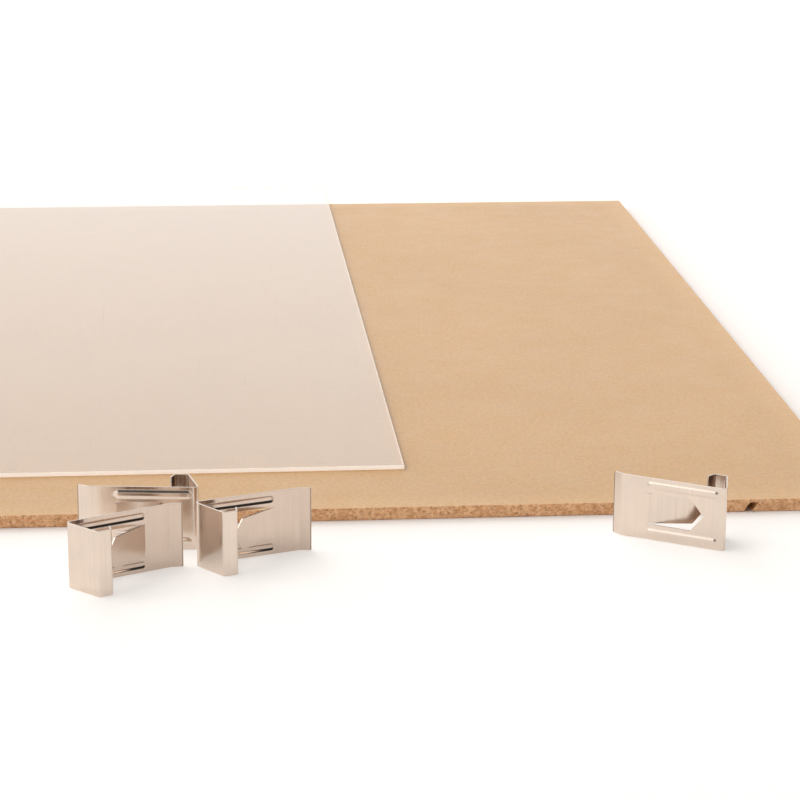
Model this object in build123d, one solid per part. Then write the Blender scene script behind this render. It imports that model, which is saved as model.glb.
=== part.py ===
from build123d import *
import os
from math import cos, radians, sin, tan

# Clip frame laid out as a kit: back board, clear pane and four sprung clips.
# Millimetres, +Z up. The origin is the middle of the board's underside, +X runs
# along the board's front edge and +Y runs back from it. A clip is drawn standing on
# a long edge, with its bend at its own origin, its plate along +X and its jaw to -Y.

# Board and pane, which are cut to the same outline
BOARD_WIDTH = 280.0
BOARD_DEPTH = 350.0
BOARD_THICKNESS = 3.0
PANE_THICKNESS = 1.0
PANE_CLEARANCE = 0.05

# Where the pane lies, from its place in register with the board
PANE_SHIFT_X = -108.4
PANE_SHIFT_Y = 29.2

# Saw grooves in the underside that take the feet of the clips
GROOVE_WIDTH = 1.7
GROOVE_DEPTH = 2.2
GROOVE_LEAN = 34.0

# Clip strip
CLIP_WIDTH = 15.0
SHEET = 0.4
BEND_INNER_RADIUS = 0.6
LIP_INNER_RADIUS = 0.4
BEND_STRAIGHT = 0.2

# Clip plate with its bent foot
PLATE_LENGTH = 25.6
PLATE_CORNER_RADIUS = 0.3
FOOT_LENGTH = 2.8
FOOT_ANGLE = 24.0

# Clip hook: web, lip and the lip's turned-in edge
WEB_LENGTH = 10.5
WEB_ANGLE = 71.0
LIP_LENGTH = 3.4
LIP_RETURN = 2.6
LIP_RETURN_TURN = 72.0

# Arrow tongue and the window that it is cut from
TONGUE_WIDTH = 7.3
TONGUE_ANGLE = 26.0
TONGUE_POINT = 3.0
TONGUE_CLEARANCE = 0.15
ROOT_LAND = 6.2
POINT_LAND = 5.6

# Stiffening beads, pressed outwards along both long edges
BEAD_RADIUS = 1.45
BEAD_HEIGHT = 0.4
BEAD_EDGE = 1.8
BEAD_BEND_LAND = 1.35
BEAD_ROOT_LAND = 0.95

# Where the clips stand: bend of the rear and right clips from the board, the
# middle clip's bend from the rear one's, the front clip's foot from the middle bend
REAR_CLIP_X = -19.4
REAR_CLIP_GAP = 18.4
REAR_CLIP_TURN = 173.7
MIDDLE_CLIP_LEFT = 1.6
MIDDLE_CLIP_AHEAD = 10.0
MIDDLE_CLIP_TURN = 19.7
FRONT_CLIP_LEFT = 2.4
FRONT_CLIP_AHEAD = 0.6
FRONT_CLIP_TURN = 26.2
RIGHT_CLIP_INSET = 39.7
RIGHT_CLIP_GAP = 28.1
RIGHT_CLIP_TURN = 148.5

bend_radius = BEND_INNER_RADIUS + SHEET
lip_radius = LIP_INNER_RADIUS + SHEET
plate_start = bend_radius * tan(radians((180 - WEB_ANGLE) / 2)) + BEND_STRAIGHT
tongue_root = PLATE_LENGTH - ROOT_LAND
foot_tip = Vector(
    PLATE_LENGTH + FOOT_LENGTH * cos(radians(FOOT_ANGLE)),
    -FOOT_LENGTH * sin(radians(FOOT_ANGLE)),
)
bead_depth = BEAD_RADIUS - BEAD_HEIGHT
bead_start = plate_start + BEAD_BEND_LAND
bead_end = tongue_root - BEAD_ROOT_LAND
bead_heights = (BEAD_EDGE, CLIP_WIDTH - BEAD_EDGE)


def backing_board():
    """Fibreboard sheet with a leaning saw groove along each side edge."""
    board = Pos(0, 0, BOARD_THICKNESS / 2) * Box(BOARD_WIDTH, BOARD_DEPTH, BOARD_THICKNESS)
    groove_inset = BOARD_WIDTH / 2 - foot_tip.X
    reach = 2 * GROOVE_DEPTH / cos(radians(GROOVE_LEAN))
    saw = Box(GROOVE_WIDTH, 2 * BOARD_DEPTH, reach)
    room = Box(2 * BOARD_WIDTH, 2 * BOARD_DEPTH, 2 * GROOVE_DEPTH)
    for side in (-1, 1):
        groove = Pos(side * groove_inset, 0, 0) * Rot(0, side * GROOVE_LEAN, 0) * saw
        board -= groove & room
    return board


def clear_pane():
    """Clear plastic sheet of the board's outline, lying pushed back and to the left."""
    height = BOARD_THICKNESS + PANE_CLEARANCE + PANE_THICKNESS / 2
    return Pos(PANE_SHIFT_X, PANE_SHIFT_Y, height) * Box(BOARD_WIDTH, BOARD_DEPTH, PANE_THICKNESS)


def strip(points, radii):
    """Sheet whose outer face follows the points, standing on the clip's long edge."""
    outer_face = FilletPolyline(*points, radius=radii)
    return extrude(make_face(offset(outer_face, SHEET, side=Side.RIGHT)), CLIP_WIDTH)


def arrow(width, point, root, tip):
    """Tongue outline in the plate's plane, pointing at the hook, with X along the plate."""
    half = width / 2
    shoulder = tip + point
    corners = [(root, -half), (root, half), (shoulder, half), (tip, 0), (shoulder, -half)]
    return make_face(Polyline(*corners, close=True))


def through_plate(outline, thickness):
    """Prism of an outline drawn along the clip, centred on its width, going inwards."""
    return Pos(0, 0, CLIP_WIDTH / 2) * Rot(90, 0, 0) * extrude(outline, thickness)


def beads(radius):
    """Round-ended rods along the plate, whose axes lie inwards of its outer face."""
    rods = []
    for height in bead_heights:
        start = Vector(bead_start, -bead_depth, height)
        end = Vector(bead_end, -bead_depth, height)
        middle = Pos((start + end) / 2) * Rot(0, 90, 0)
        rods.append(middle * Cylinder(radius, (end - start).length))
        rods.append(Pos(start) * Sphere(radius))
        rods.append(Pos(end) * Sphere(radius))
    return rods


def clip_plate():
    """Flat leaf with its window, beads and the foot bent towards the board."""
    plate = strip([(plate_start, 0), (PLATE_LENGTH, 0), foot_tip], [bend_radius])
    middle = Vector((plate_start + foot_tip.X) / 2, CLIP_WIDTH / 2)
    outline = Pos(middle) * Rectangle(foot_tip.X - plate_start, CLIP_WIDTH)
    outline = fillet(outline.vertices().group_by(Axis.X)[-1], PLATE_CORNER_RADIUS)
    plate &= Rot(90, 0, 0) * extrude(outline, 2 * FOOT_LENGTH, both=True)
    plate = plate.fuse(*beads(BEAD_RADIUS))
    flat_end = tongue_root + ROOT_LAND / 2
    inner_side = Pos(flat_end / 2, -SHEET - CLIP_WIDTH / 2, CLIP_WIDTH / 2)
    plate = plate.cut(inner_side * Box(flat_end, CLIP_WIDTH, CLIP_WIDTH), *beads(BEAD_RADIUS - SHEET))
    window_width = TONGUE_WIDTH + 2 * TONGUE_CLEARANCE
    window_point = TONGUE_POINT + TONGUE_CLEARANCE
    window = arrow(window_width, window_point, tongue_root, POINT_LAND)
    return plate - Pos(0, SHEET, 0) * through_plate(window, 3 * SHEET)


def clip_hook():
    """Web that stands on the plate's bend, with the lip and its turned-in edge."""
    lip_corner = Vector(WEB_LENGTH, 0).rotate(Axis.Z, -WEB_ANGLE)
    lip_end = lip_corner + Vector(LIP_LENGTH, 0)
    return_end = lip_end + Vector(LIP_RETURN, 0).rotate(Axis.Z, LIP_RETURN_TURN)
    points = [return_end, lip_end, lip_corner, (0, 0), (plate_start, 0)]
    return strip(points, [lip_radius, lip_radius, bend_radius])


def clip_tongue():
    """Arrow tongue, bent inwards from its root and cut square to the plate there."""
    outline = arrow(TONGUE_WIDTH, TONGUE_POINT, tongue_root + SHEET, POINT_LAND + TONGUE_CLEARANCE)
    flat = through_plate(outline, SHEET)
    hinge = Axis((tongue_root, 0, 0), (0, 0, 1))
    bent = flat.rotate(hinge, TONGUE_ANGLE)
    keep = Pos(tongue_root - PLATE_LENGTH, 0, 0) * Box(2 * PLATE_LENGTH, 4 * CLIP_WIDTH, 4 * CLIP_WIDTH)
    return bent & keep


def clip_places():
    """Each clip's name with the place of its bend and the turn of its plate."""
    front_edge = -BOARD_DEPTH / 2
    rear = Vector(REAR_CLIP_X, front_edge - REAR_CLIP_GAP)
    middle = rear - Vector(MIDDLE_CLIP_LEFT, MIDDLE_CLIP_AHEAD)
    front_foot = middle - Vector(FRONT_CLIP_LEFT, FRONT_CLIP_AHEAD)
    front = front_foot - foot_tip.rotate(Axis.Z, FRONT_CLIP_TURN)
    right = Vector(BOARD_WIDTH / 2 - RIGHT_CLIP_INSET, front_edge - RIGHT_CLIP_GAP)
    return {
        "front_clip": Pos(front) * Rot(0, 0, FRONT_CLIP_TURN),
        "middle_clip": Pos(middle) * Rot(0, 0, MIDDLE_CLIP_TURN),
        "rear_clip": Pos(rear) * Rot(0, 0, REAR_CLIP_TURN),
        "right_clip": Pos(right) * Rot(0, 0, RIGHT_CLIP_TURN),
    }


def write(shape, node):
    """One STEP file for one node."""
    export_step(shape, os.path.join("parts", node + ".step"))


os.makedirs("parts", exist_ok=True)
write(backing_board(), "backing_board")
write(clear_pane(), "clear_pane")
leaf, hook, tongue = clip_plate(), clip_hook(), clip_tongue()
for clip, place in clip_places().items():
    write(place * leaf, clip + "_plate")
    write(place * hook, clip + "_hook")
    write(place * tongue, clip + "_tongue")
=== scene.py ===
from collections import Counter, namedtuple
from itertools import product
from math import cos, hypot, radians, sin, sqrt, tan

import bmesh
import bpy
import numpy as np
from mathutils import Matrix, Vector


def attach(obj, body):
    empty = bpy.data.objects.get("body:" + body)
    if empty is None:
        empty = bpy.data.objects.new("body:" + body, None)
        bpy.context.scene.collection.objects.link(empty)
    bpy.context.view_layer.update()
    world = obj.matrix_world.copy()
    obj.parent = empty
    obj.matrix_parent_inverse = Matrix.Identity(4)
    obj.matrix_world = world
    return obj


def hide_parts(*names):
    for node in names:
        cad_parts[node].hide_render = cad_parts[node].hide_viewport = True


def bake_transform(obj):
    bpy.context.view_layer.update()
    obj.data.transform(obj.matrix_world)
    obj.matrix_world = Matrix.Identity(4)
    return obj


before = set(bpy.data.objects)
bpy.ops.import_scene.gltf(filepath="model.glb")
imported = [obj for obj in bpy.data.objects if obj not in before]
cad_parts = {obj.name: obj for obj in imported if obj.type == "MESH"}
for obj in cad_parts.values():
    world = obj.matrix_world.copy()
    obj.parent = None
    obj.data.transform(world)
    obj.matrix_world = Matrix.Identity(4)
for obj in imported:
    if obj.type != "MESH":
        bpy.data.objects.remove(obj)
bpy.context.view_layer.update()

# Sheets of the clip frame, drawn finer than the solids that they stand for.
# Sizes are in millimetres and degrees. A clip is drawn standing on a long edge,
# with its bend at the origin, its plate along +X and its jaw to -Y.
MM = 0.001

# Board and pane, as in the solids
BOARD_WIDTH = 280.0
BOARD_DEPTH = 350.0
BOARD_THICKNESS = 3.0
PANE_THICKNESS = 1.0
PANE_CLEARANCE = 0.05
PANE_SHIFT_X = -108.4
PANE_SHIFT_Y = 29.2
GROOVE_WIDTH = 1.7
GROOVE_DEPTH = 2.2
GROOVE_LEAN = 34.0

# Clip strip, as in the solids
CLIP_WIDTH = 15.0
SHEET = 0.4
BEND_INNER_RADIUS = 0.6
LIP_INNER_RADIUS = 0.4
BEND_STRAIGHT = 0.2
PLATE_LENGTH = 25.6
PLATE_CORNER_RADIUS = 0.3
FOOT_LENGTH = 2.8
FOOT_ANGLE = 24.0
WEB_LENGTH = 10.5
WEB_ANGLE = 71.0
LIP_LENGTH = 3.4
LIP_RETURN = 2.6
LIP_RETURN_TURN = 72.0
TONGUE_WIDTH = 7.3
TONGUE_ANGLE = 26.0
TONGUE_POINT = 3.0
TONGUE_CLEARANCE = 0.15
ROOT_LAND = 6.2
POINT_LAND = 5.6
BEAD_EDGE = 1.8
BEAD_BEND_LAND = 1.35
BEAD_ROOT_LAND = 0.95

# Where the clips stand, as in the solids
REAR_CLIP_X = -19.4
REAR_CLIP_GAP = 18.4
REAR_CLIP_TURN = 173.7
MIDDLE_CLIP_LEFT = 1.6
MIDDLE_CLIP_AHEAD = 10.0
MIDDLE_CLIP_TURN = 19.7
FRONT_CLIP_LEFT = 2.4
FRONT_CLIP_AHEAD = 0.6
FRONT_CLIP_TURN = 26.2
RIGHT_CLIP_INSET = 39.7
RIGHT_CLIP_GAP = 28.1
RIGHT_CLIP_TURN = 148.5

# Forms that the solids leave plain: soft flanks of the beads, rounded corners and edges
BEAD_RISE = 0.33
BEAD_SPREAD = 1.15
BEAD_CREST = 0.3
HOLLOW_DEPTH = 0.4
HOLLOW_SPREAD = 0.95
ROOT_BEND_RADIUS = 1.2
TONGUE_CORNER_RADIUS = 0.45
TONGUE_TIP_RADIUS = 0.3
RIM_RADIUS = 0.05
BOARD_ARRIS = 0.18
PANE_ARRIS = 0.1

# Where the finish changes: the board's rubbed rim, and a band at the foot's end darkened as painted shade
RUBBED_RIM = 9.0
FOOT_END_SHADE_BAND = 0.3

# How far the strip gives way as a leaf springs: below the plate's outer face, along the tongue
HOOK_GIVE = 2.0
TONGUE_GIVE = 1.0

# Gaps between the lines of a mesh, fine at rims and beads and wide on flats, parts of an arc
CORNER_GAP = 0.075
BEAD_GAP = 0.085
FINE_GAP = 0.1
LAND_GAP = 0.2
TONGUE_GAP = 0.3
WINDOW_GAP = 0.5
BRIDGE_GAP = 0.6
SPAN_GAP = 0.7
LEAF_GAP = 0.8
HOOK_GAP = 1.0
ARC_PARTS = 8

# Where gaps change: past a bead's end, behind the tongue's root and inside the tongue's rim
BEAD_END = 0.4
ROOT_ROOM = 0.4
TONGUE_RIM = 0.6

# Lines behind the root that stay square to the foot, and a length too short to draw
SQUARE_LINES = 2
HAIR = 1e-6

# Angles above which an edge is eased on a block and shaded sharp on a sheet
ARRIS_ANGLE = 30.0
SHARP_ANGLE = 35.0

# Segments of a rounded edge
ARRIS_SEGMENTS = 3
RIM_SEGMENTS = 2

# Places of the materials on a block and on a clip's strip
FACE_SLOT, FRONT_SLOT, SIDE_SLOT = range(3)
OUTER_SLOT, INNER_SLOT, RIM_SLOT, FOOT_END_SHADE_SLOT = range(4)

# Upright part of a normal above which a face counts as level
LEVEL = 0.99

# Noise: its roughness, and the range that most of it lies in
NOISE_ROUGHNESS = 0.55
NOISE_LOW = 0.3
NOISE_HIGH = 0.7

# Nickel: how much smoother its polished patches are, and how much its rolling lines differ
NICKEL_POLISH = 0.07
NICKEL_STREAK = 0.04

# Clear plastic: refraction, gloss, and how much hairlines and dust cover
PLASTIC_IOR = 1.49
GLOSS_GAIN = 1.7
HAIRLINE_COVER = 0.05
DUST_COVER = 0.12

# Floor, whose white is a veil that thins out near the board, where the board's shade falls
FLOOR_HALF = 60000.0
FLOOR_DROP = 0.05
FLOOR_VEIL = 0.42
FLOOR_WHITE = 1.32
BOARD_SHADE = 18.0

# Light: a sky that is bright at the left and back and low at the front, a lamp in it, a soft box
LIGHT_COLOUR = (1.0, 0.98, 0.96)
SKY_SIDE = (-0.83, 0.55, 0.0)
SKY_BRIGHT = 1.12
SKY_FRONT_LOW = 0.8
SKY_FRONT_HIGH = 0.03
SKY_FRONT_RISE = 0.62
SKY_TURNS_FROM = -0.25
SKY_TURNS_TO = 0.4
LAMP_SIDE = (-0.6, 0.05, 0.8)
LAMP_STRENGTH = 1.85
LAMP_POWER = 8.0
SOFT_BOX_AT = (-300.0, 750.0, 700.0)
SOFT_BOX_SIZE = 500.0
SOFT_BOX_WATTS = 3.4

# Camera, solved from the edges of the board, the pane and the clips in the photograph
FOCAL_PIXELS = 2553.66
IMAGE_PIXELS = 800
SENSOR_WIDTH = 36.0
CAMERA_AT = (-22.6125, -746.8632, 196.398)
CAMERA_PITCH = 16.2131
CAMERA_ROLL = 0.3583
CAMERA_YAW = 5.0367
NEAREST = 10.0
FARTHEST = 200000.0


def heading(angle):
    """Unit vector in the plane, at an angle in degrees from +X."""
    return Vector((cos(radians(angle)), sin(radians(angle))))


half_width = BOARD_WIDTH / 2
half_depth = BOARD_DEPTH / 2
half_clip = CLIP_WIDTH / 2
half_tongue = TONGUE_WIDTH / 2
half_window = half_tongue + TONGUE_CLEARANCE
bend_radius = BEND_INNER_RADIUS + SHEET
lip_radius = LIP_INNER_RADIUS + SHEET
plate_start = bend_radius * tan(radians((180 - WEB_ANGLE) / 2)) + BEND_STRAIGHT
tongue_root = PLATE_LENGTH - ROOT_LAND
window_point = TONGUE_POINT + TONGUE_CLEARANCE
window_shoulder = POINT_LAND + window_point
foot_tip = Vector((PLATE_LENGTH, 0)) + heading(-FOOT_ANGLE) * FOOT_LENGTH
bead_start = plate_start + BEAD_BEND_LAND
bead_end = tongue_root - BEAD_ROOT_LAND
bead_heights = (BEAD_EDGE, CLIP_WIDTH - BEAD_EDGE)

# Where the strip gives way as a leaf springs, from the plate to the leaf
hook_give = (Vector((plate_start, -SHEET, 0)), Vector((plate_start, -HOOK_GIVE, 0)))
tongue_give = (Vector((tongue_root, 0, 0)), Vector((tongue_root - TONGUE_GIVE, 0, 0)))


# Material nodes

def new_material(name):
    """An empty material and its node tree."""
    material = bpy.data.materials.new(name)
    material.use_nodes = True
    material.node_tree.nodes.clear()
    return material, material.node_tree


def node(tree, kind, inputs=None, **settings):
    """A shader node with its settings, whose inputs are numbers, colours or sockets to link."""
    made = tree.nodes.new("ShaderNode" + kind)
    for key, value in settings.items():
        setattr(made, key, value)
    for key, value in (inputs or {}).items():
        socket = made.inputs[key]
        if isinstance(value, bpy.types.NodeSocket):
            tree.links.new(value, socket)
        elif socket.type == "RGBA":
            socket.default_value = (*value, 1)
        else:
            socket.default_value = value
    return made


def own_place(tree):
    """Place on the object, in metres."""
    return node(tree, "TexCoord").outputs["Object"]


def axes_of(tree, vector):
    """The X, Y and Z of a vector."""
    return node(tree, "SeparateXYZ", {"Vector": vector}).outputs


def noise(tree, cells, detail, turn=0.0, warp=0.0):
    """Noise from 0 to 1 with a number of cells per metre along each axis, turned in radians."""
    mapping = node(tree, "Mapping", {"Vector": own_place(tree), "Scale": cells, "Rotation": (0, 0, turn)})
    inputs = {
        "Vector": mapping.outputs["Vector"],
        "Scale": 1.0,
        "Detail": detail,
        "Roughness": NOISE_ROUGHNESS,
        "Distortion": warp,
    }
    return node(tree, "TexNoise", inputs).outputs["Fac"]


def ranged(tree, value, low, high, to_low=0.0, to_high=1.0, smooth=False):
    """A value taken from one range to another, and held at the ends."""
    inputs = {"Value": value, "From Min": low, "From Max": high, "To Min": to_low, "To Max": to_high}
    kind = "SMOOTHSTEP" if smooth else "LINEAR"
    return node(tree, "MapRange", inputs, interpolation_type=kind).outputs["Result"]


def varied(tree, pattern, low=0.0, high=1.0):
    """A value that goes from low to high as a noise goes through its usual range."""
    return ranged(tree, pattern, NOISE_LOW, NOISE_HIGH, low, high)


def compute(tree, operation, first, second=0.0):
    """One arithmetic step on two values."""
    return node(tree, "Math", {0: first, 1: second}, operation=operation).outputs["Value"]


def mixed(tree, share, first, second, blend="MIX"):
    """A share of the second colour in the first."""
    inputs = {0: share, 6: first, 7: second}
    return node(tree, "Mix", inputs, data_type="RGBA", blend_type=blend).outputs[2]


def tinted(tree, tone, pattern, low, high, share, colour):
    """A tone with a colour mixed in as a pattern goes from low to high, up to a share."""
    return mixed(tree, ranged(tree, pattern, low, high, 0.0, share), tone, colour)


def darker(colour, share):
    """A colour that keeps a share of its light."""
    return tuple(share * part for part in colour)


def bumped(tree, height, strength, depth):
    """Normal of a surface with fine relief of a depth."""
    inputs = {"Height": height, "Strength": strength, "Distance": depth * MM}
    return node(tree, "Bump", inputs).outputs["Normal"]


def covered(tree, share, under, over):
    """One shader with a share of another over it."""
    return node(tree, "MixShader", {0: share, 1: under.outputs[0], 2: over.outputs[0]})


def output(tree, shader):
    """Makes a shader the material's surface."""
    node(tree, "OutputMaterial", {"Surface": shader.outputs[0]})


def principled(tree, inputs):
    """Makes a plain shader with these inputs the material's surface."""
    output(tree, node(tree, "BsdfPrincipled", inputs))


# Materials

def fibreboard_face():
    """Smooth pressed face: matted fibres, soft blotches, dark flecks and a paler rubbed rim."""
    material, tree = new_material("fibreboard_face")
    blotch = noise(tree, cells=(22, 22, 22), detail=3)
    cloud = noise(tree, cells=(150, 150, 150), detail=3)
    fibre_across = noise(tree, cells=(1900, 260, 900), detail=4, turn=0.5, warp=0.6)
    fibre_along = noise(tree, cells=(300, 2100, 900), detail=4, turn=0.35, warp=0.6)
    fibre = compute(tree, "MULTIPLY", fibre_across, fibre_along)
    grain = noise(tree, cells=(1500, 1500, 1500), detail=2)
    mottle = noise(tree, cells=(1000, 700, 1000), detail=2)
    flecks = noise(tree, cells=(520, 520, 520), detail=2)
    place = axes_of(tree, own_place(tree))
    side_inset = compute(tree, "SUBTRACT", half_width * MM, compute(tree, "ABSOLUTE", place["X"]))
    end_inset = compute(tree, "SUBTRACT", half_depth * MM, compute(tree, "ABSOLUTE", place["Y"]))
    inset = compute(tree, "MINIMUM", side_inset, end_inset)
    dark = (0.590, 0.340, 0.141)
    light = (0.635, 0.373, 0.157)
    tone = mixed(tree, varied(tree, blotch), dark, light)
    tone = tinted(tree, tone, cloud, low=0.35, high=0.7, share=0.35, colour=(0.645, 0.381, 0.161))
    tone = tinted(tree, tone, fibre, low=0.2, high=0.42, share=0.45, colour=(0.675, 0.417, 0.184))
    tone = tinted(tree, tone, grain, low=0.55, high=0.8, share=0.5, colour=(0.510, 0.277, 0.113))
    tone = tinted(tree, tone, flecks, low=0.66, high=0.74, share=0.3, colour=(0.440, 0.242, 0.108))
    tone = tinted(tree, tone, inset, low=RUBBED_RIM * MM, high=0.0, share=0.6, colour=(0.72, 0.44, 0.195))
    tone = mixed(tree, 1.0, tone, varied(tree, mottle, low=0.93, high=1.07), "MULTIPLY")
    roughness = varied(tree, cloud, low=0.3, high=0.4)
    normal = bumped(tree, compute(tree, "ADD", fibre, grain), strength=0.12, depth=0.2)
    inputs = {"Base Color": tone, "Roughness": roughness, "Normal": normal, "Specular IOR Level": 0.42}
    principled(tree, inputs)
    return material


def fibreboard_edge():
    """Sawn edge: coarse reddish chips, pale fibre ends, dark pores and faint press layers."""
    material, tree = new_material("fibreboard_edge")
    chips = noise(tree, cells=(1100, 1100, 1400), detail=2)
    fibre_ends = noise(tree, cells=(2300, 2300, 2600), detail=3)
    pores = noise(tree, cells=(1500, 1500, 1700), detail=2, warp=0.8)
    layers = noise(tree, cells=(60, 60, 1100), detail=2)
    dark = (0.71, 0.345, 0.155)
    light = (0.99, 0.62, 0.345)
    tone = mixed(tree, ranged(tree, chips, 0.35, 0.65), dark, light)
    tone = tinted(tree, tone, fibre_ends, low=0.52, high=0.72, share=0.7, colour=(0.97, 0.72, 0.48))
    tone = tinted(tree, tone, pores, low=0.56, high=0.68, share=0.8, colour=(0.43, 0.205, 0.095))
    tone = tinted(tree, tone, layers, low=0.45, high=0.7, share=0.2, colour=(0.72, 0.37, 0.18))
    roughness = varied(tree, fibre_ends, low=0.75, high=0.95)
    normal = bumped(tree, compute(tree, "SUBTRACT", chips, pores), strength=0.5, depth=0.4)
    inputs = {"Base Color": tone, "Roughness": roughness, "Normal": normal, "Specular IOR Level": 0.2}
    principled(tree, inputs)
    return material


def nickel(name, tint, roughest, relief):
    """Nickel-plated spring strip: rolling lines across the clip, hazy patches and fine specks."""
    material, tree = new_material(name)
    rolled = noise(tree, cells=(1700, 1700, 16), detail=3)
    haze = noise(tree, cells=(170, 170, 210), detail=3)
    specks = noise(tree, cells=(3000, 3000, 3000), detail=1)
    tone = mixed(tree, varied(tree, haze), darker(tint, 0.93), tint)
    tone = tinted(tree, tone, rolled, low=0.45, high=0.75, share=0.26, colour=darker(tint, 0.8))
    tone = tinted(tree, tone, specks, low=0.70, high=0.78, share=0.35, colour=darker(tint, 0.6))
    hazy = varied(tree, haze, low=roughest - NICKEL_POLISH, high=roughest)
    streaked = varied(tree, rolled, low=-NICKEL_STREAK, high=NICKEL_STREAK)
    roughness = compute(tree, "ADD", hazy, streaked)
    normal = bumped(tree, compute(tree, "ADD", rolled, specks), strength=relief, depth=0.03)
    principled(tree, {"Base Color": tone, "Metallic": 1.0, "Roughness": roughness, "Normal": normal})
    return material


def clear_plastic():
    """Clear sheet: gloss that grows towards grazing, with faint haze, hairlines and dust."""
    material, tree = new_material("clear_plastic")
    outside = compute(tree, "SUBTRACT", 1.0, node(tree, "NewGeometry").outputs["Backfacing"])
    haze = noise(tree, cells=(30, 45, 30), detail=3)
    roughness = varied(tree, haze, low=0.03, high=0.07)
    gloss = node(tree, "BsdfGlossy", {"Color": (0.97, 0.97, 0.97), "Roughness": roughness})
    through = node(tree, "BsdfTransparent", {"Color": (0.97, 0.968, 0.962)})
    fresnel = node(tree, "Fresnel", {"IOR": PLASTIC_IOR}).outputs["Fac"]
    gloss_share = compute(tree, "MULTIPLY", compute(tree, "MULTIPLY", fresnel, outside), GLOSS_GAIN)
    sheet = covered(tree, gloss_share, through, gloss)
    back_hairs = noise(tree, cells=(2600, 16, 1), detail=1, turn=0.3)
    side_hairs = noise(tree, cells=(12, 2400, 1), detail=1, turn=-0.2)
    dust = noise(tree, cells=(700, 700, 700), detail=1)
    marks = ranged(tree, back_hairs, 0.72, 0.80, 0.0, HAIRLINE_COVER)
    marks = compute(tree, "MAXIMUM", marks, ranged(tree, side_hairs, 0.73, 0.80, 0.0, HAIRLINE_COVER))
    marks = compute(tree, "MAXIMUM", marks, ranged(tree, dust, 0.76, 0.80, 0.0, DUST_COVER))
    white = node(tree, "BsdfDiffuse", {"Color": (0.95, 0.94, 0.92)})
    output(tree, covered(tree, compute(tree, "MULTIPLY", marks, outside), sheet, white))
    return material


def plastic_edge(name, dark, light, glow):
    """Cut edge of the clear sheet: fine cutting lines, and a painted glow for the light that the sheet
    leads to it.
    """
    material, tree = new_material(name)
    cut = noise(tree, cells=(240, 240, 5200), detail=3)
    chips = noise(tree, cells=(420, 420, 420), detail=2)
    inputs = {
        "Base Color": mixed(tree, ranged(tree, chips, 0.35, 0.7), dark, light),
        "Roughness": varied(tree, cut, low=0.25, high=0.45),
        "Normal": bumped(tree, cut, strength=0.2, depth=0.1),
        "Emission Color": (1, 0.93, 0.85),
        "Emission Strength": glow,
    }
    principled(tree, inputs)
    return material


def floor_paper():
    """White paper that keeps faint shadows, under a veil for camera, glossy and transmission rays."""
    material, tree = new_material("floor_paper")
    paper = noise(tree, cells=(300, 300, 300), detail=2)
    tone = mixed(tree, paper, (0.985, 0.95, 0.92), (0.99, 0.955, 0.925))
    path = node(tree, "LightPath").outputs
    seen = compute(tree, "MAXIMUM", path["Is Camera Ray"], path["Is Glossy Ray"])
    seen = compute(tree, "MAXIMUM", seen, path["Is Transmission Ray"])
    place = axes_of(tree, own_place(tree))
    aside = compute(tree, "ABSOLUTE", place["X"])
    beside = ranged(tree, aside, half_width * MM, (half_width + BOARD_SHADE) * MM)
    before = ranged(tree, place["Y"], -half_depth * MM, -(half_depth + BOARD_SHADE) * MM)
    behind = compute(tree, "GREATER_THAN", place["Y"], half_depth * MM)
    away = compute(tree, "MAXIMUM", compute(tree, "MAXIMUM", beside, before), behind)
    veil = compute(tree, "MULTIPLY", compute(tree, "MULTIPLY", seen, away), FLOOR_VEIL)
    matt = node(tree, "BsdfDiffuse", {"Color": tone})
    white = node(tree, "Emission", {"Color": (1, 0.95, 0.91), "Strength": FLOOR_WHITE})
    output(tree, covered(tree, veil, matt, white))
    return material


# Meshes

def shade_smooth(shape):
    """Turns the faces of a closed shape outwards and shades them smooth."""
    bmesh.ops.recalc_face_normals(shape, faces=shape.faces)
    for face in shape.faces:
        face.smooth = True


def new_object(name, data):
    """An object in the scene that holds a mesh, a light or a camera."""
    made = bpy.data.objects.new(name, data)
    bpy.context.scene.collection.objects.link(made)
    return made


def rounded_piece(name, shape, materials, **rounding):
    """A piece made of a shape and its materials, with the rounding of its edges worked in."""
    mesh = bpy.data.meshes.new(name + "_mesh")
    for material in materials:
        mesh.materials.append(material)
    shape.to_mesh(mesh)
    shape.free()
    plain = new_object(name + "_plain", mesh)
    bevel = plain.modifiers.new("round", "BEVEL")
    bevel.harden_normals = True
    for key, value in rounding.items():
        setattr(bevel, key, value)
    graph = bpy.context.evaluated_depsgraph_get()
    finished = bpy.data.meshes.new_from_object(plain.evaluated_get(graph))
    finished.name = name
    bpy.data.objects.remove(plain)
    bpy.data.meshes.remove(mesh)
    return new_object(name, finished)


def block_piece(name, section, front, back, arris, materials):
    """A section in the XZ plane, carried from front to back, with its arrises eased."""
    shape = bmesh.new()
    ends = []
    for y in (front, back):
        ends.append([shape.verts.new((x * MM, y * MM, z * MM)) for x, z in section])
        shape.faces.new(ends[-1])
    for index in range(len(section)):
        shape.faces.new((ends[0][index - 1], ends[0][index], ends[1][index], ends[1][index - 1]))
    shade_smooth(shape)
    piece = rounded_piece(
        name, shape, materials, width=arris * MM, segments=ARRIS_SEGMENTS,
        limit_method="ANGLE", angle_limit=radians(ARRIS_ANGLE),
    )
    for face in piece.data.polygons:
        aside, ahead, upright = (abs(part) for part in face.normal)
        if upright > LEVEL:
            face.material_index = FACE_SLOT
        elif aside > ahead:
            face.material_index = SIDE_SLOT
        else:
            face.material_index = FRONT_SLOT
    return piece


def steps(low, high, gap):
    """Evenly spaced values from low to just before high."""
    count = max(1, round((high - low) / gap))
    return [low + (high - low) * index / count for index in range(count)]


# Part of a bent strip's path: a straight run, or an arc where it turns
Run = namedtuple("Run", "start way length turn")


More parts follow.
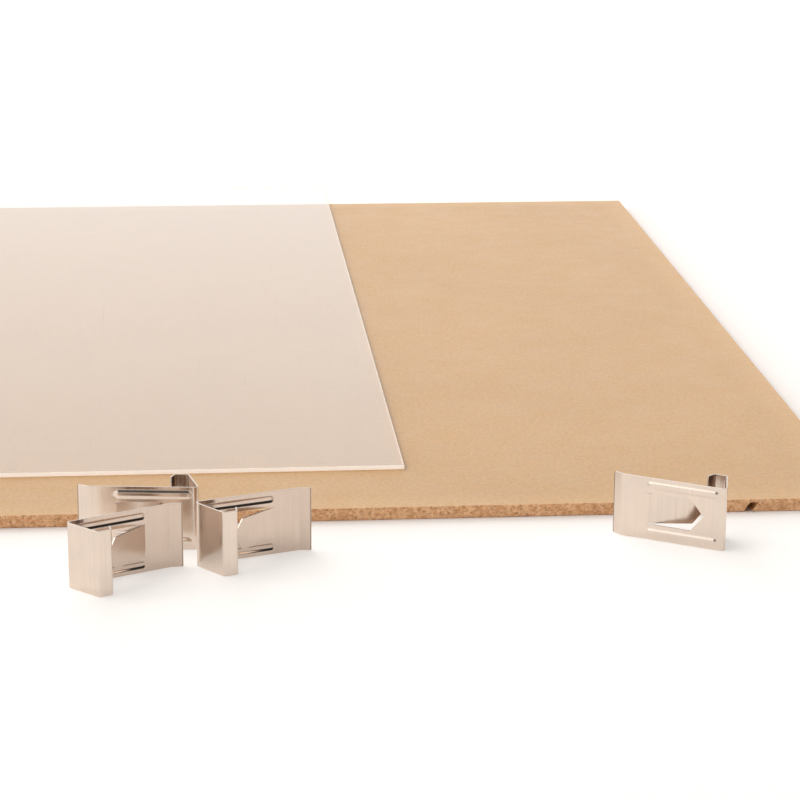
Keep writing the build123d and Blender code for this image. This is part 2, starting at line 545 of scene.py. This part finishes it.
def bend_path(points, radii, gap):
    """A polyline with rounded corners, as a function of the length along it, and its mesh lines."""
    points = [Vector(point) for point in points]
    runs = []
    begin = points[0]
    for corner, radius, after in zip(points[1:-1], radii, points[2:]):
        into = (corner - begin).normalized()
        out = (after - corner).normalized()
        turn = -into.angle_signed(out)
        tangent = radius * tan(abs(turn) / 2)
        straight = (corner - begin).length - tangent
        if straight > HAIR:
            runs.append(Run(begin, into, straight, 0.0))
        runs.append(Run(corner - into * tangent, into, radius * abs(turn), turn))
        begin = corner + out * tangent
    last = points[-1] - begin
    runs.append(Run(begin, last.normalized(), last.length, 0.0))

    def at(length):
        """Place and unit direction at a length along the path."""
        for run in runs:
            if length <= run.length + HAIR or run is runs[-1]:
                break
            length -= run.length
        if not run.turn:
            return run.start + run.way * length, run.way
        radius = run.length / run.turn
        centre = run.start + Vector((-run.way.y, run.way.x)) * radius
        spun = Matrix.Rotation(length / radius, 2)
        return centre + spun @ (run.start - centre), spun @ run.way

    lines = []
    travelled = 0.0
    for run in runs:
        run_gap = run.length / ARC_PARTS if run.turn else gap
        lines += steps(travelled, travelled + run.length, run_gap)
        travelled += run.length
    return at, lines + [travelled]


def grids(heights, lengths, faces_at):
    """Points of a sheet's outer and inner face, by height and by length along it."""
    points = np.zeros((2, len(heights), len(lengths), 3))
    for row, height in enumerate(heights):
        for column, length in enumerate(lengths):
            outer, inner = faces_at(height, length)
            points[OUTER_SLOT, row, column] = (*outer, height)
            points[INNER_SLOT, row, column] = (*inner, height)
    return points


def at_start(first, second):
    """Whether both ends of a mesh edge lie on the line where a sheet starts."""
    return first[1] == second[1] == 0


def nowhere(row, column):
    """No cell of the mesh is left out."""
    return False


def add_rim(shape, weight, corners, joined):
    """One face of a sheet's rim, whose two long edges are to be rounded unless it joins a neighbour."""
    rim = shape.faces.new(corners)
    rim.material_index = OUTER_SLOT if joined else RIM_SLOT
    if not joined:
        for ends in (corners[:2], corners[2:]):
            shape.edges.get(ends)[weight] = 1.0


def sheet_piece(name, points, materials, joins=at_start, missing=nowhere, painted_shade_column=None):
    """A closed sheet between two grids of points, with rounded rims where it joins no neighbour."""
    rows, columns = points.shape[1:3]
    cells = [cell for cell in product(range(rows - 1), range(columns - 1)) if not missing(*cell)]
    rings = [((row, col), (row, col + 1), (row + 1, col + 1), (row + 1, col)) for row, col in cells]
    used = sorted({corner for ring in rings for corner in ring})
    shape = bmesh.new()
    weight = shape.edges.layers.float.new("bevel_weight_edge")
    sides = [{key: shape.verts.new(grid[key] * MM) for key in used} for grid in points]
    edges = Counter()
    for ring in rings:
        for slot, side in enumerate(sides):
            face = shape.faces.new([side[key] for key in ring])
            # The band at the foot's end takes the dark material: painted shade
            face.material_index = FOOT_END_SHADE_SLOT if ring[0][1] == painted_shade_column else slot
        edges.update(tuple(sorted(ends)) for ends in zip(ring, ring[1:] + ring[:1]))
    outer, inner = sides
    for (first, second), count in edges.items():
        if count == 1:
            corners = [outer[first], outer[second], inner[second], inner[first]]
            add_rim(shape, weight, corners, joins(first, second))
    shade_smooth(shape)
    for edge in shape.edges:
        if edge[weight] == 0 and edge.calc_face_angle(0) > radians(SHARP_ANGLE):
            edge.smooth = False
    return rounded_piece(
        name, shape, materials, width=RIM_RADIUS * MM, segments=RIM_SEGMENTS,
        limit_method="WEIGHT", use_clamp_overlap=True,
    )


# Board and pane

def board_section():
    """Outline of the board seen from the front, with its two leaning saw grooves."""
    groove_inset = half_width - foot_tip.x
    lean = tan(radians(GROOVE_LEAN)) * GROOVE_DEPTH
    half_mouth = GROOVE_WIDTH / cos(radians(GROOVE_LEAN)) / 2
    section = [(-half_width, 0)]
    for side in (-1, 1):
        left = side * groove_inset - half_mouth
        right = side * groove_inset + half_mouth
        section.append((left, 0))
        section.append((left + side * lean, GROOVE_DEPTH))
        section.append((right + side * lean, GROOVE_DEPTH))
        section.append((right, 0))
    return section + [(half_width, 0), (half_width, BOARD_THICKNESS), (-half_width, BOARD_THICKNESS)]


def board_piece(name):
    """Fibreboard sheet."""
    sawn = fibreboard_edge()
    materials = [fibreboard_face(), sawn, sawn]
    return block_piece(name, board_section(), -half_depth, half_depth, BOARD_ARRIS, materials)


def pane_piece(name):
    """Clear sheet, whose front and back edges are paler and glow as painted light, and whose side edges
    don't.
    """
    materials = [
        clear_plastic(),
        # Front and back edges: a paler tone and an emission glow, painted light
        plastic_edge("plastic_front_edge_painted_glow", dark=(0.93, 0.87, 0.80), light=(0.97, 0.92, 0.86), glow=0.42),
        plastic_edge("plastic_side_edge", dark=(0.76, 0.62, 0.47), light=(0.82, 0.69, 0.54), glow=0.0),
    ]
    left = PANE_SHIFT_X - half_width
    right = PANE_SHIFT_X + half_width
    bottom = BOARD_THICKNESS + PANE_CLEARANCE
    top = bottom + PANE_THICKNESS
    section = [(left, bottom), (right, bottom), (right, top), (left, top)]
    front = PANE_SHIFT_Y - half_depth
    back = PANE_SHIFT_Y + half_depth
    return block_piece(name, section, front, back, PANE_ARRIS, materials)


# Clips

def clip_metal():
    """Materials of a clip's strip: outer face, inner face, cut rim and foot end; inner face and foot end
    darker as painted shade.
    """
    return [
        nickel("nickel_plate", tint=(0.765, 0.655, 0.565), roughest=0.22, relief=0.25),
        # Inner face: a little duller finish, and a darker tint that is painted shade of the jaw
        nickel("nickel_inner_painted_shade", tint=(0.66, 0.54, 0.455), roughest=0.23, relief=0.3),
        nickel("nickel_cut_rim", tint=(0.745, 0.655, 0.58), roughest=0.34, relief=0.5),
        # Foot's end: a dark copy of the nickel, painted shade
        nickel("nickel_foot_end_painted_shade", tint=(0.40, 0.31, 0.25), roughest=0.3, relief=0.5),
    ]


def bead_at(along, height, rise, spread):
    """Rise of the pressed beads at a place on the plate: full on a crest, none past its spread."""
    beyond = max(bead_start - along, 0, along - bead_end)
    off = min(hypot(beyond, height - line) for line in bead_heights)
    part = min(max(off - BEAD_CREST, 0) / (spread - BEAD_CREST), 1.0)
    return rise * (1 - part * part * (3 - 2 * part))


def window_edge(height):
    """How far along the plate its pointed window starts, at a height."""
    off = min(abs(height - half_clip), half_window)
    return POINT_LAND + window_point * off / half_window


def corner_trim(height):
    """How much a rounded corner takes off the foot's end, at a height."""
    into = max(PLATE_CORNER_RADIUS - min(height, CLIP_WIDTH - height), 0.0)
    return PLATE_CORNER_RADIUS - sqrt(PLATE_CORNER_RADIUS**2 - into**2)


def plate_heights():
    """Heights of the plate's mesh lines, and how many of them lie below its window."""
    bead_low = BEAD_EDGE - BEAD_SPREAD
    bead_high = BEAD_EDGE + BEAD_SPREAD
    window_low = half_clip - half_window
    below = steps(0, PLATE_CORNER_RADIUS, CORNER_GAP)
    below += steps(PLATE_CORNER_RADIUS, bead_low, LAND_GAP)
    below += steps(bead_low, bead_high, BEAD_GAP)
    below += steps(bead_high, window_low, LAND_GAP)
    lower = below + steps(window_low, half_clip, WINDOW_GAP)
    upper = [CLIP_WIDTH - height for height in reversed(lower)]
    return lower + [half_clip] + upper, len(below)


def plate_lengths(path_lines):
    """Lengths of the plate's mesh lines from its start, and which two of them bound the window."""
    before = steps(plate_start, bead_start - BEAD_SPREAD, LAND_GAP)
    before += steps(bead_start - BEAD_SPREAD, bead_start + BEAD_END, FINE_GAP)
    before += steps(bead_start + BEAD_END, window_shoulder, BRIDGE_GAP)
    beside = steps(window_shoulder, bead_end - BEAD_END, SPAN_GAP)
    beside += steps(bead_end - BEAD_END, tongue_root, FINE_GAP)
    lengths = [along - plate_start for along in before + beside + [tongue_root]]
    end = path_lines[-1]
    lengths += [line for line in path_lines[:-1] if line > lengths[-1] + ROOT_ROOM]
    # The last column is the band of painted shade at the foot's end
    return lengths + [end - FOOT_END_SHADE_BAND, end], len(before), len(before + beside)


def plate_piece(name, metal):
    """Leaf with its pointed window, two pressed beads and the bent foot."""
    at, path_lines = bend_path([(plate_start, 0), (PLATE_LENGTH, 0), foot_tip], [bend_radius], LEAF_GAP)
    heights, below = plate_heights()
    lengths, shoulder_line, root_line = plate_lengths(path_lines)
    above = len(heights) - 1 - below
    window_from = lengths[shoulder_line]
    trimmed_from = lengths[root_line + SQUARE_LINES]
    trimmed = lengths[-1] - trimmed_from

    def faces_at(height, length):
        """Both faces, with the lines drawn in at the window's point and at the foot's corners."""
        if length <= window_from:
            length *= (window_edge(height) - plate_start) / window_from
        if length > trimmed_from:
            length -= (length - trimmed_from) / trimmed * corner_trim(height)
        spot, way = at(length)
        outward = Vector((-way.y, way.x))
        along = plate_start + length
        crest = bead_at(along, height, BEAD_RISE, BEAD_SPREAD)
        hollow = bead_at(along, height, HOLLOW_DEPTH, HOLLOW_SPREAD)
        return spot + outward * crest, spot - outward * (SHEET - hollow)

    def missing(row, column):
        """Whether a cell lies in the window."""
        return below <= row < above and shoulder_line <= column < root_line

    def joins(first, second):
        """Whether a rim edge meets the hook or the tongue."""
        at_root = first[1] == second[1] == root_line
        return at_start(first, second) or at_root

    points = grids(heights, lengths, faces_at)
    return sheet_piece(name, points, metal, joins, missing, painted_shade_column=len(lengths) - 2)


def both_faces(at, length):
    """Outer and inner face of a strip whose path runs with its outer face to the right."""
    spot, way = at(length)
    return spot, spot - Vector((way.y, -way.x)) * SHEET


def hook_piece(name, metal):
    """Web, lip and the lip's turned-in edge, carried on from the plate's bend."""
    lip_corner = heading(-WEB_ANGLE) * WEB_LENGTH
    lip_end = lip_corner + Vector((LIP_LENGTH, 0))
    return_end = lip_end + heading(LIP_RETURN_TURN) * LIP_RETURN
    corners = [(plate_start, 0), (0, 0), lip_corner, lip_end, return_end]
    at, lengths = bend_path(corners, [bend_radius, lip_radius, lip_radius], SPAN_GAP)
    heights = steps(0, CLIP_WIDTH, HOOK_GAP) + [CLIP_WIDTH]

    def faces_at(height, length):
        """Both faces, alike at every height."""
        return both_faces(at, length)

    return sheet_piece(name, grids(heights, lengths, faces_at), metal)


def tongue_short(off):
    """How far the tongue's rounded outline falls short of its point, at a distance off the middle."""
    slope = TONGUE_POINT / half_tongue
    slant = sqrt(1 + slope * slope)
    if off < TONGUE_TIP_RADIUS * slope / slant:
        return TONGUE_TIP_RADIUS * slant - sqrt(TONGUE_TIP_RADIUS**2 - off**2)
    corner = half_tongue - TONGUE_CORNER_RADIUS
    if off < corner + TONGUE_CORNER_RADIUS * slope / slant:
        return slope * off
    rounding = sqrt(max(TONGUE_CORNER_RADIUS**2 - (off - corner) ** 2, 0))
    return slope * corner + TONGUE_CORNER_RADIUS * slant - rounding


def tongue_piece(name, metal):
    """Arrow tongue, folded inwards from the plate on a soft bend."""
    tangent = ROOT_BEND_RADIUS * tan(radians(TONGUE_ANGLE) / 2)
    straight = tongue_root - POINT_LAND - TONGUE_CLEARANCE - tangent
    corner = Vector((tongue_root - tangent, 0))
    tip = corner - heading(TONGUE_ANGLE) * straight
    at, lengths = bend_path([(tongue_root, 0), corner, tip], [ROOT_BEND_RADIUS], LEAF_GAP)
    rim = half_tongue - TONGUE_RIM
    offs = steps(0, rim, TONGUE_GAP) + steps(rim, half_tongue, FINE_GAP) + [half_tongue]
    heights = [half_clip - off for off in reversed(offs[1:])] + [half_clip + off for off in offs]

    def faces_at(height, length):
        """Both faces, with the lines drawn in to the rounded point."""
        short = tongue_short(abs(height - half_clip))
        return both_faces(at, length * (1 - short / lengths[-1]))

    return sheet_piece(name, grids(heights, lengths, faces_at), metal)


def standing(bend, turn):
    """Matrix that sets a clip on the floor, by the place of its bend and the turn of its plate."""
    return Matrix.Translation((bend * MM).to_3d()) @ Matrix.Rotation(radians(turn), 4, "Z")


def clip_places():
    """Each clip's name and where it stands."""
    rear = Vector((REAR_CLIP_X, -half_depth - REAR_CLIP_GAP))
    middle = rear - Vector((MIDDLE_CLIP_LEFT, MIDDLE_CLIP_AHEAD))
    front_foot = middle - Vector((FRONT_CLIP_LEFT, FRONT_CLIP_AHEAD))
    front = front_foot - Matrix.Rotation(radians(FRONT_CLIP_TURN), 2) @ foot_tip
    right = Vector((half_width - RIGHT_CLIP_INSET, -half_depth - RIGHT_CLIP_GAP))
    return {
        "front_clip": standing(front, FRONT_CLIP_TURN),
        "middle_clip": standing(middle, MIDDLE_CLIP_TURN),
        "rear_clip": standing(rear, REAR_CLIP_TURN),
        "right_clip": standing(right, RIGHT_CLIP_TURN),
    }


# Stage

def floor_piece():
    """Wide floor, a hair under the board."""
    corners = [(-1, -1), (1, -1), (1, 1), (-1, 1)]
    points = [(x * FLOOR_HALF * MM, y * FLOOR_HALF * MM, -FLOOR_DROP * MM) for x, y in corners]
    mesh = bpy.data.meshes.new("floor")
    mesh.from_pydata(points, [], [(0, 1, 2, 3)])
    mesh.materials.append(floor_paper())
    return new_object("floor", mesh)


def faced(tree, ray, side):
    """How nearly a ray points to a side, from -1 to 1."""
    inputs = {0: ray, 1: Vector(side).normalized()}
    return node(tree, "VectorMath", inputs, operation="DOT_PRODUCT").outputs["Value"]


def studio_sky():
    """Soft light from all round, bright at the left and back, with a wide lamp in it."""
    world = bpy.data.worlds.new("studio")
    world.use_nodes = True
    tree = world.node_tree
    tree.nodes.clear()
    ray = node(tree, "TexCoord").outputs["Generated"]
    rise = axes_of(tree, ray)["Z"]
    front = ranged(tree, rise, 0.0, SKY_FRONT_RISE, SKY_FRONT_LOW, SKY_FRONT_HIGH, smooth=True)
    side = faced(tree, ray, SKY_SIDE)
    level = ranged(tree, side, SKY_TURNS_FROM, SKY_TURNS_TO, front, SKY_BRIGHT, smooth=True)
    lamp = compute(tree, "POWER", compute(tree, "MAXIMUM", faced(tree, ray, LAMP_SIDE)), LAMP_POWER)
    level = compute(tree, "ADD", level, compute(tree, "MULTIPLY", lamp, LAMP_STRENGTH))
    sky = node(tree, "Background", {"Color": LIGHT_COLOUR, "Strength": level})
    node(tree, "OutputWorld", {"Surface": sky.outputs["Background"]})
    return world


def soft_box_lamp():
    """Square lamp above the back left, turned to the origin, that nothing mirrors."""
    light = bpy.data.lights.new("soft_box", "AREA")
    light.shape = "SQUARE"
    light.size = SOFT_BOX_SIZE * MM
    light.energy = SOFT_BOX_WATTS
    light.color = LIGHT_COLOUR
    lamp = new_object("soft_box", light)
    lamp.location = Vector(SOFT_BOX_AT) * MM
    lamp.rotation_euler = lamp.location.to_track_quat("Z", "Y").to_euler()
    lamp.visible_glossy = False
    return lamp


def photo_camera():
    """Camera at the photograph's angle."""
    data = bpy.data.cameras.new("camera")
    data.sensor_width = SENSOR_WIDTH
    data.lens = FOCAL_PIXELS / IMAGE_PIXELS * SENSOR_WIDTH
    data.clip_start = NEAREST * MM
    data.clip_end = FARTHEST * MM
    camera = new_object("camera", data)
    yaw = Matrix.Rotation(radians(-CAMERA_YAW), 4, "Z")
    pitch = Matrix.Rotation(radians(90 - CAMERA_PITCH), 4, "X")
    roll = Matrix.Rotation(radians(CAMERA_ROLL), 4, "Z")
    camera.matrix_world = Matrix.Translation(Vector(CAMERA_AT) * MM) @ yaw @ pitch @ roll
    return camera


# The object and its stage

def stand_in(cad_node):
    """Hides the solid that a piece stands in for."""
    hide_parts(cad_node)


board = board_piece("board_sheet")
stand_in("backing_board")
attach(board, "board")

pane = pane_piece("pane_sheet")
stand_in("clear_pane")
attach(pane, "pane")

clip_leaves = (("hook", hook_piece, hook_give), ("tongue", tongue_piece, tongue_give))
strip_metal = clip_metal()
for clip, place in clip_places().items():
    plate_body = clip + "_plate"
    plate = plate_piece(plate_body + "_sheet", strip_metal)
    plate.data.transform(place)
    stand_in(plate_body)
    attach(plate, plate_body)
    for part, build, give in clip_leaves:
        leaf_body = clip + "_" + part
        leaf = build(leaf_body + "_sheet", strip_metal)
        leaf.data.transform(place)
        stand_in(leaf_body)
        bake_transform(leaf)

floor = floor_piece()
soft_box = soft_box_lamp()
scene = bpy.context.scene
scene.world = studio_sky()
scene.camera = photo_camera()
scene.view_settings.view_transform = "Standard"
